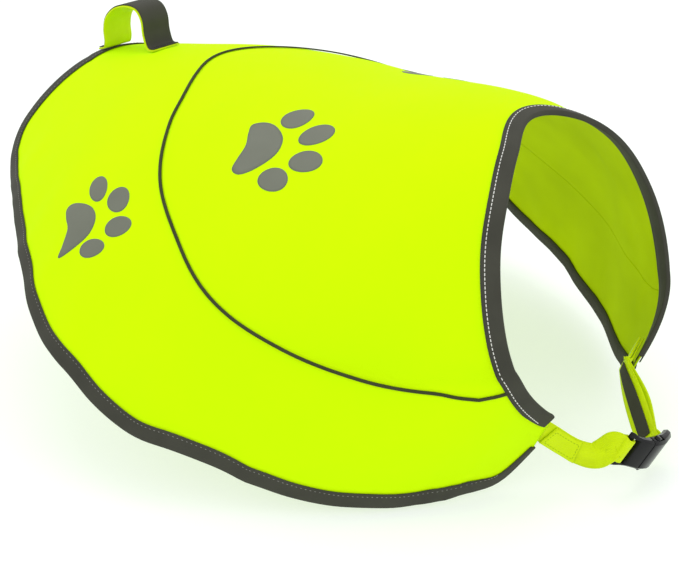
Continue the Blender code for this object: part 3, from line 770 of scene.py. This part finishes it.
def closed_strip(name, sections, finish):
    """Closed tube from section rings: a grid whose long sides are merged and whose ends are filled."""
    piece = grid_piece(name, [list(ring) + [ring[0]] for ring in sections])
    piece.data.materials.append(finish)
    deselect_all()
    piece.select_set(True)
    bpy.context.view_layer.objects.active = piece
    bpy.ops.object.mode_set(mode="EDIT")
    bpy.ops.mesh.select_all(action="SELECT")
    bpy.ops.mesh.remove_doubles(threshold=0.000005)
    bpy.ops.mesh.select_all(action="DESELECT")
    bpy.ops.mesh.select_mode(type="EDGE")
    bpy.ops.mesh.select_non_manifold(
        extend=False, use_wire=False, use_multi_face=False, use_non_contiguous=False, use_verts=False)
    bpy.ops.mesh.edge_face_add()
    bpy.ops.mesh.select_all(action="SELECT")
    bpy.ops.mesh.normals_make_consistent(inside=False)
    bpy.ops.object.mode_set(mode="OBJECT")
    return piece


def tape_width(j, count, width, end_width, taper):
    near_end = max(0.0, 1 - min(j, count - j) / taper)
    return width + (end_width - width) * near_end


def binding(name, places, side, width, end_width, taper):
    count = len(places) - 1
    top = BINDING_GAP
    under = -CLOTH - BINDING_GAP
    middle = -CLOTH / 2
    sections = []
    for j, place in enumerate(places):
        reach = tape_width(j, count, width, end_width, taper)
        profile = [
            (reach, top), (reach + 0.1, top + BINDING * 0.6), (reach - 0.4, top + BINDING),
            (reach * 0.66, top + BINDING), (reach * 0.33, top + BINDING), (0, top + BINDING),
            (-BINDING_GAP - BINDING * 0.45, top + BINDING * 0.75),
            (-BINDING_GAP - BINDING * 0.85, top + BINDING * 0.1),
            (-BINDING_GAP - BINDING, middle),
            (-BINDING_GAP - BINDING * 0.85, under - BINDING * 0.1),
            (-BINDING_GAP - BINDING * 0.45, under - BINDING * 0.75),
            (0, under - BINDING), (reach * 0.5, under - BINDING), (reach - 0.3, under - BINDING),
            (reach, under),
            (reach / 2, under), (-BINDING_GAP, under), (-BINDING_GAP, top), (reach / 2, top),
        ]
        across = inward(places, j, side)
        sections.append([skin(walk(place, across * distance), lift) for distance, lift in profile])
    return closed_strip(name, sections, grey_tape)


neck_span = (NECK_ENDS[RIGHT] + NECK_END_GAP, NECK_ENDS[LEFT] - NECK_END_GAP)
neck_places = spaced(NECK_BOTH, *neck_span, BINDING_STEPS)
hem_places = spaced(HEM_BOTH, *HEM_ENDS, BINDING_STEPS)
neck_widths = (NECK_BINDING_WIDTH, NECK_BINDING_END_WIDTH)
hem_widths = (HEM_BINDING_WIDTH, HEM_BINDING_END_WIDTH)
neck_tape = binding("neck_tape", neck_places, REARWARD, *neck_widths, NECK_TAPER)
hem_tape = binding("hem_tape", hem_places, FORWARD, *hem_widths, HEM_TAPER)
settle(neck_tape, "neck_binding", slot="grey_tape")
settle(hem_tape, "hem_binding", slot="grey_tape")

# %% [markdown]
# A narrow raised piping covers the seam between the yoke and the surround, from one neck tape to the
# other.

# %% Seam piping
PIPING_WIDTH = 2.5
PIPING_HEIGHT = 1.3
PIPING_END = 99.2
PIPING_ARC_STEPS = 8


def seam_cord():
    places = spaced(SEAM_BOTH, -PIPING_END, PIPING_END, BINDING_STEPS)
    reach = PIPING_WIDTH / 2
    sections = []
    for j, place in enumerate(places):
        across = inward(places, j, REARWARD)
        ring = []
        for k in range(PIPING_ARC_STEPS + 1):
            turn = math.pi * k / PIPING_ARC_STEPS
            ring.append((-reach * math.cos(turn), BINDING_GAP + PIPING_HEIGHT * math.sin(turn) ** 0.8))
        ring.append((0, BINDING_GAP))
        sections.append([skin(walk(place, across * distance), lift) for distance, lift in ring])
    return closed_strip("seam_cord", sections, olive_piping)


piping = settle(seam_cord(), "seam_piping")

# %% [markdown]
# The transfers are paw prints, pressed on as thin film: a pad and four toes each. Each shape starts as a
# filled circle with four insets, so that it has points enough inside to follow the cloth. Its rim takes
# the shape, its points are walked out along the cloth from the print's centre, and Solidify makes it a
# film.

# %% Paw prints
Toe = namedtuple("Toe", "forward down length width turn")
Print = namedtuple("Print", "name station angle pad toes")
FRONT_PAD = [
    (-23, -18), (-15, -23), (-3, -20), (12, -8), (19, 6), (18, 18), (11, 30), (3, 35), (-5, 31), (-8, 20),
    (-11, 6), (-19, -8),
]
FRONT_TOES = [
    Toe(6, -33, 29, 24, 60), Toe(37, -15, 26, 26, 0), Toe(48, 14, 28, 21, 15), Toe(34, 35, 28, 20, 30),
]
REAR_PAD = [
    (-24, -5), (-20, -11), (-7, -14), (5, -13), (14, -6), (16, 6), (9, 19), (-3, 32), (-5, 22), (-9, 9),
    (-18, 2),
]
REAR_TOES = [
    Toe(-3, -29, 26, 17, 40), Toe(24, -27, 24, 20, 35), Toe(39, -8, 24, 17, -30), Toe(26, 15, 24, 15, -25),
]
FILM_LIFT = 0.16
FILM_THICKNESS = 0.12
PRINTS = []
for side_name, side in (("right", -1), ("left", 1)):
    PRINTS.append(Print("front_paw_" + side_name, 45, 24 * side, FRONT_PAD, FRONT_TOES))
    PRINTS.append(Print("rear_paw_" + side_name, -56, 47 * side, REAR_PAD, REAR_TOES))
RIM_POINTS = 56
INSETS = 4
INSET = 0.18
TOE_POINTS = 12


def curve_weights(t):
    """Shares of four neighbours in a point that lies a part t of the way from the second to the third."""
    return ((-t**3 + 2 * t**2 - t) / 2, (3 * t**3 - 5 * t**2 + 2) / 2,
            (-3 * t**3 + 4 * t**2 + t) / 2, (t**3 - t**2) / 2)


def closed_curve(points, share):
    """Point on a smooth closed curve through a list of points."""
    count = len(points)
    at = share * count
    k = int(at) % count
    t = at - int(at)
    weighed = list(zip(curve_weights(t), (points[(k + n) % count] for n in (-1, 0, 1, 2))))
    return tuple(sum(weight * point[n] for weight, point in weighed) for n in (0, 1))


def toe_outline(toe):
    points = []
    turn = math.radians(toe.turn)
    for k in range(TOE_POINTS):
        way = math.tau * k / TOE_POINTS
        length = toe.length / 2 * math.cos(way)
        width = toe.width / 2 * math.sin(way) * (1 - 0.08 * math.cos(way))
        points.append((toe.forward + length * math.cos(turn) - width * math.sin(turn),
                       toe.down + length * math.sin(turn) + width * math.cos(turn)))
    return points


def film_shape(outline, centre_place):
    """One shape of a print: a filled circle with its rings drawn in to the outline and laid on the cloth."""
    middle = (sum(x for x, y in outline) / len(outline), sum(y for x, y in outline) / len(outline))
    side = -1 if centre_place[1] < 0 else 1
    deselect_all()
    bpy.ops.mesh.primitive_circle_add(vertices=RIM_POINTS, radius=1, fill_type="NGON")
    shape = bpy.context.object
    bpy.ops.object.mode_set(mode="EDIT")
    bpy.ops.mesh.select_all(action="SELECT")
    for _ in range(INSETS):
        bpy.ops.mesh.inset(thickness=INSET)
    bpy.ops.mesh.poke()
    bpy.ops.object.mode_set(mode="OBJECT")
    forward, around, normal = form_directions(*centre_place)
    forward = forward.normalized()
    down = around.normalized() * side
    for vertex in shape.data.vertices:
        share = math.atan2(vertex.co.y, vertex.co.x) / math.tau % 1
        reach = min(1.0, vertex.co.length)
        rim = closed_curve(outline, share)
        x = middle[0] + (rim[0] - middle[0]) * reach
        y = middle[1] + (rim[1] - middle[1]) * reach
        vertex.co = skin(walk(centre_place, forward * x + down * y), FILM_LIFT) * MM
    return shape


def join_all(name, parts):
    deselect_all()
    for part in parts:
        part.select_set(True)
    bpy.context.view_layer.objects.active = parts[0]
    bpy.ops.object.join()
    piece = bpy.context.object
    piece.name = name
    piece.data.name = name
    return piece


def paw_print(plan):
    outlines = [plan.pad] + [toe_outline(toe) for toe in plan.toes]
    piece = join_all(plan.name, [film_shape(outline, (plan.station, plan.angle)) for outline in outlines])
    turn_out(piece, from_the_axis)
    piece.data.materials.clear()
    piece.data.materials.append(grey_transfer)
    film = piece.modifiers.new("film", "SOLIDIFY")
    film.thickness = FILM_THICKNESS * MM
    film.offset = 1
    apply_all(piece)
    piece.data.shade_smooth()
    return settle(piece, slot="grey_tape")


for plan in PRINTS:
    paw_print(plan)

# %% [markdown]
# Stitches are short threads pressed into the tape. One stitch is modelled from a small cylinder with
# tapered ends, and copied along its line as points of one joined mesh.

# %% Stitch lines
StitchLine = namedtuple("StitchLine", "name rows ends side inset lift pitch length thread finish")
STITCH_END_GAP = 6
ROUGH_STEPS = 240


def stitch_template(length, thread):
    """Points and faces of one stitch along X: four rings of six points, the outer ones small and low."""
    rings = [(-0.5, 0.35, -0.5), (-0.34, 1.0, 0.0), (0.34, 1.0, 0.0), (0.5, 0.35, -0.5)]
    points = []
    for along, size, sunk in rings:
        for k in range(6):
            turn = math.tau * k / 6
            points.append(Vector((along * length, math.cos(turn) * thread / 2 * size,
                                  math.sin(turn) * thread / 2 * size + sunk * thread / 2)))
    faces = [tuple(range(5, -1, -1)), tuple(range(18, 24))]
    for ring in range(3):
        for k in range(6):
            n = (k + 1) % 6
            faces.append((ring * 6 + k, ring * 6 + n, ring * 6 + 6 + n, ring * 6 + 6 + k))
    return points, faces


def stitches_from(name, frames, length, thread, finish):
    """One mesh with a stitch at each (centre, along, up) frame, in millimetres."""
    template, template_faces = stitch_template(length, thread)
    points = []
    faces = []
    for centre, along, up in frames:
        across = up.cross(along)
        base = len(points)
        points += [(centre + along * p.x + across * p.y + up * p.z) * MM for p in template]
        faces += [tuple(base + k for k in face) for face in template_faces]
    mesh = bpy.data.meshes.new(name)
    mesh.from_pydata(points, [], faces)
    mesh.shade_smooth()
    mesh.materials.append(finish)
    piece = bpy.data.objects.new(name, mesh)
    bpy.context.scene.collection.objects.link(piece)
    return piece


def line_frames(line):
    start = line.ends[RIGHT] + STITCH_END_GAP
    end = line.ends[LEFT] - STITCH_END_GAP
    rough = spaced(line.rows, start, end, ROUGH_STEPS)
    count = int(length_of(shifted(rough, line.inset, line.side)) / line.pitch)
    places = spaced(line.rows, start, end, count)
    frames = []
    for j in range(1, count):
        across = inward(places, j, line.side)
        place = walk(places[j], across * line.inset)
        normal = form_directions(*place)[2]
        along = across.cross(normal).normalized()
        frames.append((skin(place, line.lift), along, normal))
    return frames


tape_top = BINDING_GAP + BINDING
TAPE_STITCHES = [
    StitchLine("neck_stitches", NECK_BOTH, NECK_ENDS, REARWARD, NECK_BINDING_WIDTH - 3.2, tape_top + 0.05,
               3.0, 2.3, 0.7, white_thread),
    StitchLine("hem_stitches", HEM_BOTH, HEM_ENDS, FORWARD, HEM_BINDING_WIDTH - 2.2, tape_top,
               3.4, 1.3, 0.4, hem_thread),
]
for line in TAPE_STITCHES:
    settle(stitches_from(line.name, line_frames(line), line.length, line.thread, line.finish))

# %% [markdown]
# Webbing and tape are bands that follow a path. A path is a list of stops, each with a point and a
# direction across, joined by a smooth curve. A band is a closed strip round a flat ring with soft
# corners.

# %% Bands
Stop = namedtuple("Stop", "point across")


def smooth_stops(stops, steps):
    """Stops along a smooth curve through the given ones."""
    result = []
    for k in range(len(stops) - 1):
        chain = [stops[max(k - 1, 0)], stops[k], stops[k + 1], stops[min(k + 2, len(stops) - 1)]]
        for step in range(steps):
            weights = curve_weights(step / steps)
            point = sum((stop.point * weight for stop, weight in zip(chain, weights)), Vector())
            across = sum((stop.across * weight for stop, weight in zip(chain, weights)), Vector())
            result.append(Stop(point, across.normalized()))
    return result + [stops[-1]]


STOP_STEPS = 12
BAND_COLUMNS = 10
SEAM_SAMPLES = 80


def band_directions(stops, k):
    along = (stops[min(k + 1, len(stops) - 1)].point - stops[max(k - 1, 0)].point).normalized()
    across = (stops[k].across - along * stops[k].across.dot(along)).normalized()
    return along, across, along.cross(across)


def band(name, stops, width, low, high, finish, first=0.0, last=None):
    """Closed band between two heights over its path, over all of it or from one stop to another."""
    soft = (high - low) * 0.35
    reach = width / 2 - soft
    offsets = [reach * (2 * k / BAND_COLUMNS - 1) for k in range(BAND_COLUMNS + 1)]
    ring = [(offset, low) for offset in offsets] + [(width / 2, (low + high) / 2)]
    ring += [(offset, high) for offset in reversed(offsets)] + [(-width / 2, (low + high) / 2)]
    start = round(first * STOP_STEPS)
    end = len(stops) if last is None else round(last * STOP_STEPS) + 1
    sections = []
    for k in range(start, end):
        along, across, face = band_directions(stops, k)
        sections.append([stops[k].point + across * offset + face * height for offset, height in ring])
    return closed_strip(name, sections, finish)


def band_frames(stops, start, end, height, pitch):
    """Stitch frames on a band from one (stop, offset) to another, at a height over its path."""
    samples = []
    for n in range(SEAM_SAMPLES + 1):
        at = (start[0] + (end[0] - start[0]) * n / SEAM_SAMPLES) * STOP_STEPS
        offset = start[1] + (end[1] - start[1]) * n / SEAM_SAMPLES
        k = min(int(at), len(stops) - 2)
        low = band_directions(stops, k)
        high = band_directions(stops, k + 1)
        point = stops[k].point.lerp(stops[k + 1].point, at - k)
        across = low[1].lerp(high[1], at - k).normalized()
        face = low[2].lerp(high[2], at - k).normalized()
        samples.append((point + across * offset + face * height, face * math.copysign(1, height)))
    travelled = [0.0]
    for (a, _), (b, _) in zip(samples, samples[1:]):
        travelled.append(travelled[-1] + (b - a).length)
    count = max(1, round(travelled[-1] / pitch))
    frames = []
    n = 0
    for j in range(count):
        goal = travelled[-1] * (j + 0.5) / count
        while n < SEAM_SAMPLES - 1 and travelled[n + 1] < goal:
            n += 1
        share = (goal - travelled[n]) / (travelled[n + 1] - travelled[n])
        centre = samples[n][0].lerp(samples[n + 1][0], share)
        along = (samples[n + 1][0] - samples[n][0]).normalized()
        frames.append((centre, along, samples[n][1]))
    return frames


print("bands take", STOP_STEPS, "steps from stop to stop")

# %% [markdown]
# The lead loop stands on the ridge on two feet, the rear one over the hem tape. A grey tape runs along
# its outer face, and each foot is held by two rows of stitches across it.

# %% Lead loop
LoopStop = namedtuple("LoopStop", "station height")
LOOP_PATH = [
    LoopStop(-234.5, 1.7), LoopStop(-230.5, 1.7), LoopStop(-227.5, 2.6), LoopStop(-226, 8),
    LoopStop(-226.5, 18), LoopStop(-223, 28.5), LoopStop(-212, 36), LoopStop(-198, 38), LoopStop(-185, 35),
    LoopStop(-178.5, 26), LoopStop(-177, 14), LoopStop(-174, 4), LoopStop(-170.5, 0.4), LoopStop(-165, 0),
]


def loop_stops():
    stops = []
    for stop in LOOP_PATH:
        ridge = skin((stop.station, 0)).z + LAYER_GAP + WEBBING / 2
        stops.append(Stop(Vector((stop.station, 0, ridge + stop.height)), Vector((0, 1, 0))))
    return smooth_stops(stops, STOP_STEPS)


HALF = WEBBING / 2
LAYER_FACE = HALF + LAYER_GAP
FOOT_ROWS = [0.35, 0.9, 12.15, 12.65]
loop_path = loop_stops()
loop_strap = band("loop_strap", loop_path, LOOP_WIDTH, -HALF, HALF, lime_webbing)
loop_cover = band("loop_cover", loop_path, LOOP_TAPE_WIDTH, LAYER_FACE, LAYER_FACE + TAPE, grey_tape)
settle(loop_strap, "loop_webbing", slot="lime_webbing")
settle(loop_cover, "loop_tape", slot="grey_tape")
cover_top = LAYER_FACE + TAPE + 0.05
row_end = LOOP_TAPE_WIDTH / 2 - 2
loop_frames = []
for row in FOOT_ROWS:
    loop_frames += band_frames(loop_path, (row, -row_end), (row, row_end), cover_top, 2.6)
settle(stitches_from("loop_stitches", loop_frames, 2.0, 0.6, dark_thread))

# %% [markdown]
# The chest straps are sewn under the tips. The right one carries an outer layer with a stitched rectangle
# and ends on the plug's bar; the left one is folded round the socket's bar, with both ends sewn at the
# tip. A narrow grey stripe is woven along each.

# %% Chest straps
def frame_at(centre, along, face):
    """Matrix from a frame with X along, Z out of the face and Y across."""
    along = along.normalized()
    face = (face - along * face.dot(along)).normalized()
    across = face.cross(along)
    return Matrix((
        (along.x, across.x, face.x, centre.x),
        (along.y, across.y, face.y, centre.y),
        (along.z, across.z, face.z, centre.z),
        (0, 0, 0, 1),
    ))


BUCKLE = frame_at(Vector((326.5, -2, -222.5)), Vector((0, 0.94, -0.34)), Vector((0.93, -0.13, -0.35)))
BUCKLE_ARCH_RADIUS = 55.0
PLUG_BAR = -29.6
SOCKET_BAR = 16.5
SOCKET_BAR_DEPTH = 1.9
PLUG_WRAP = 3.9
SOCKET_WRAP = 2.8
SEWN_ROOM = 1.6
UNDER_PANEL = -(CLOTH + BINDING_GAP + BINDING + SEWN_ROOM + WEBBING / 2)
NearStop = namedtuple("NearStop", "x y z lean")
NEAR_RUN = [
    NearStop(284, -50, -210, 0), NearStop(294, -44.5, -215.5, 0.2), NearStop(304, -38.5, -216.5, 0.35),
]
LEAN = Vector((-0.58, 0.69, -0.42))
NEAR_SEWN = (22.0, 4.0)
FAR_SEWN = (20.0, 0.0, -6.0)
FAR_STRAND_STEP = 2.4
FAR_MIDDLE = Vector((295.8, 38.2, -208.7))
FAR_ACROSS = Vector((0.66, 0.10, 0.70))
FAR_BOW = {1: Vector((-2.7, -2.3, 0)), -1: Vector((-1.5, -1.3, 0))}
FAR_MIDDLE_SPREAD = 2.0
STRAND_OFFSET = 1.0
FAR_RUN = 14


def arch(along):
    return -along**2 / (2 * BUCKLE_ARCH_RADIUS)


def tip_across(end):
    """Direction across a strap where it is sewn under a chest tip."""
    corners = [form(rows[end].station, rows[end].angle) for rows in (NECK_BOTH, HEM_BOTH)]
    return (corners[0] - corners[1]).normalized()


def sewn_stops(end, reaches, lift):
    """Stops under a chest tip, towards the middle of its cut end."""
    neck = (NECK_BOTH[end].station, NECK_BOTH[end].angle)
    hem = (HEM_BOTH[end].station, HEM_BOTH[end].angle)
    middle = between(neck, hem, 0.5)
    normal = form_directions(*middle)[2]
    across = tip_across(end)
    across = (across - normal * across.dot(normal)).normalized()
    back = across.cross(normal)
    if back.y * middle[1] < 0:
        back.negate()
    return [Stop(skin(walk(middle, back * reach), lift), across) for reach in reaches]


def wrapped_stops(bar, outward, radius, run):
    """Stops in beside a bar on its outward side, round it and out again on the other side."""
    outward = outward.normalized()
    back = Vector((-outward.z, 0, outward.x))
    if back.z > 0:
        back.negate()
    points = [bar + back * distance + outward * spread
              for distance, spread in ((run, STRAND_OFFSET), (run * 0.5, 2.2), (1.5, radius))]
    for k in range(1, 8):
        turn = math.pi * k / 8
        points.append(bar + outward * (radius * math.cos(turn)) - back * (radius * math.sin(turn)))
    points += [bar + back * distance - outward * spread
               for distance, spread in ((1.5, radius), (run * 0.5, 2.2), (run, STRAND_OFFSET))]
    across = BUCKLE.to_3x3() @ Vector((0, 1, 0))
    return [Stop(BUCKLE @ point, across) for point in points]


def near_stops():
    across = tip_across(RIGHT)
    bar = Vector((PLUG_BAR, 0, arch(PLUG_BAR)))
    run = [Stop(Vector((stop.x, stop.y, stop.z)), (across + LEAN * stop.lean).normalized())
           for stop in NEAR_RUN]
    wrapped = wrapped_stops(bar, Vector((-0.77, 0, 0.63)), PLUG_WRAP, 7)
    return smooth_stops(sewn_stops(RIGHT, NEAR_SEWN, UNDER_PANEL) + run + wrapped, STOP_STEPS)


def far_stops():
    bar = Vector((SOCKET_BAR, 0, arch(SOCKET_BAR) - SOCKET_BAR_DEPTH))
    wrapped = wrapped_stops(bar, Vector((-0.87, 0, -0.49)), SOCKET_WRAP, FAR_RUN)
    along = (BUCKLE @ bar - FAR_MIDDLE).normalized()
    across = (FAR_ACROSS - along * FAR_ACROSS.dot(along)).normalized()
    inner_face = along.cross(across)
    middles = [Stop(FAR_MIDDLE + FAR_BOW[side] + inner_face * FAR_MIDDLE_SPREAD * side, across)
               for side in (1, -1)]
    inner = sewn_stops(LEFT, FAR_SEWN, UNDER_PANEL - FAR_STRAND_STEP)
    outer = sewn_stops(LEFT, FAR_SEWN, UNDER_PANEL)
    return smooth_stops(inner + middles[:1] + wrapped + middles[1:] + outer[::-1], STOP_STEPS)


near_path = near_stops()
far_path = far_stops()
layer_heights = (LAYER_FACE, LAYER_FACE + TAIL)
stripe_heights = (LAYER_FACE, LAYER_FACE + TAPE)
inner_heights = (-LAYER_FACE - TAPE, -LAYER_FACE)
near_webbing = band("near_webbing", near_path, STRAP_WIDTH, -HALF, HALF, lime_webbing)
near_layer = band("near_layer", near_path, STRAP_WIDTH - 1, *layer_heights, lime_webbing, 1.4, 2.8)
near_stripe = band("near_stripe", near_path, STRIPE_WIDTH, *inner_heights, grey_tape, 1.4, 3.4)
far_webbing = band("far_webbing", far_path, STRAP_WIDTH, -HALF, HALF, lime_webbing)
far_stripe = band("far_stripe", far_path, STRIPE_WIDTH, *stripe_heights, grey_tape, 2.0, 4.2)
settle(near_webbing, "near_strap", slot="lime_webbing")
settle(near_layer, "near_strap_tail", slot="lime_webbing")
settle(near_stripe, "near_strap_stripe", slot="grey_tape")
settle(far_webbing, "far_strap", slot="lime_webbing")
settle(far_stripe, "far_strap_stripe", slot="grey_tape")

# %% [markdown]
# The outer layer is sewn down by a rectangle of stitches. Bar tacks of dark thread hold the left strap's
# sewn ends to the inside of the tip.

# %% Strap stitches
layer_top = LAYER_FACE + TAIL + 0.03
corners = [(1.5, -6.5), (2.7, -6.5), (2.7, 6.5), (1.5, 6.5)]
box_frames = []
for start, end in zip(corners, corners[1:] + corners[:1]):
    box_frames += band_frames(near_path, start, end, layer_top, 2.4)
settle(stitches_from("box_stitches", box_frames, 1.8, 0.55, lime_thread))


def tack_frames(start, end, count, lift, side):
    """Side-by-side stitches along a line on the cloth, each leaning a little the other way."""
    frames = []
    for n in range(count):
        place = between(start, end, n / (count - 1))
        forward, around, normal = form_directions(*place)
        line = (form(*end) - form(*start)).normalized()
        lean = 0.25 if n % 2 else -0.25
        along = normal.cross(line) + line * lean
        along = (along - normal * along.dot(normal)).normalized()
        frames.append((skin(place, lift), along, normal * side))
    return frames


TACK_LIFT = -CLOTH - 0.15
tacks = tack_frames((270.5, 140.5), (268.5, 131.0), 22, TACK_LIFT, -1)
tacks += tack_frames((263.0, 137.0), (270.0, 139.5), 12, TACK_LIFT, -1)
settle(stitches_from("tack_stitches", tacks, 3.4, 0.6, dark_thread))

# %% [markdown]
# The buckle's two halves are copies of the solids with their points merged and their hard edges rounded,
# as moulded plastic is.

# %% Buckle
def moulded(name, node, rounding):
    """Rounded copy of a solid."""
    solid = bpy.data.objects[node]
    mesh = solid.data.copy()
    mesh.name = name
    piece = bpy.data.objects.new(name, mesh)
    bpy.context.scene.collection.objects.link(piece)
    mesh.transform(solid.matrix_world)
    mesh.materials.clear()
    mesh.materials.append(black_plastic)
    deselect_all()
    piece.select_set(True)
    bpy.context.view_layer.objects.active = piece
    bpy.ops.object.mode_set(mode="EDIT")
    bpy.ops.mesh.select_all(action="SELECT")
    bpy.ops.mesh.remove_doubles(threshold=0.00001)
    bpy.ops.mesh.dissolve_limited(angle_limit=math.radians(3))
    bpy.ops.object.mode_set(mode="OBJECT")
    bevel = piece.modifiers.new("rounding", "BEVEL")
    bevel.width = rounding * MM
    bevel.segments = 3
    bevel.limit_method = "ANGLE"
    bevel.angle_limit = math.radians(32)
    apply_all(piece)
    piece.data.shade_smooth()
    piece.data.set_sharp_from_angle(angle=math.radians(50))
    return settle(piece, node, slot="black_plastic")


moulded("socket_shell", "buckle_socket", 0.45)
moulded("plug_shell", "buckle_plug", 0.35)
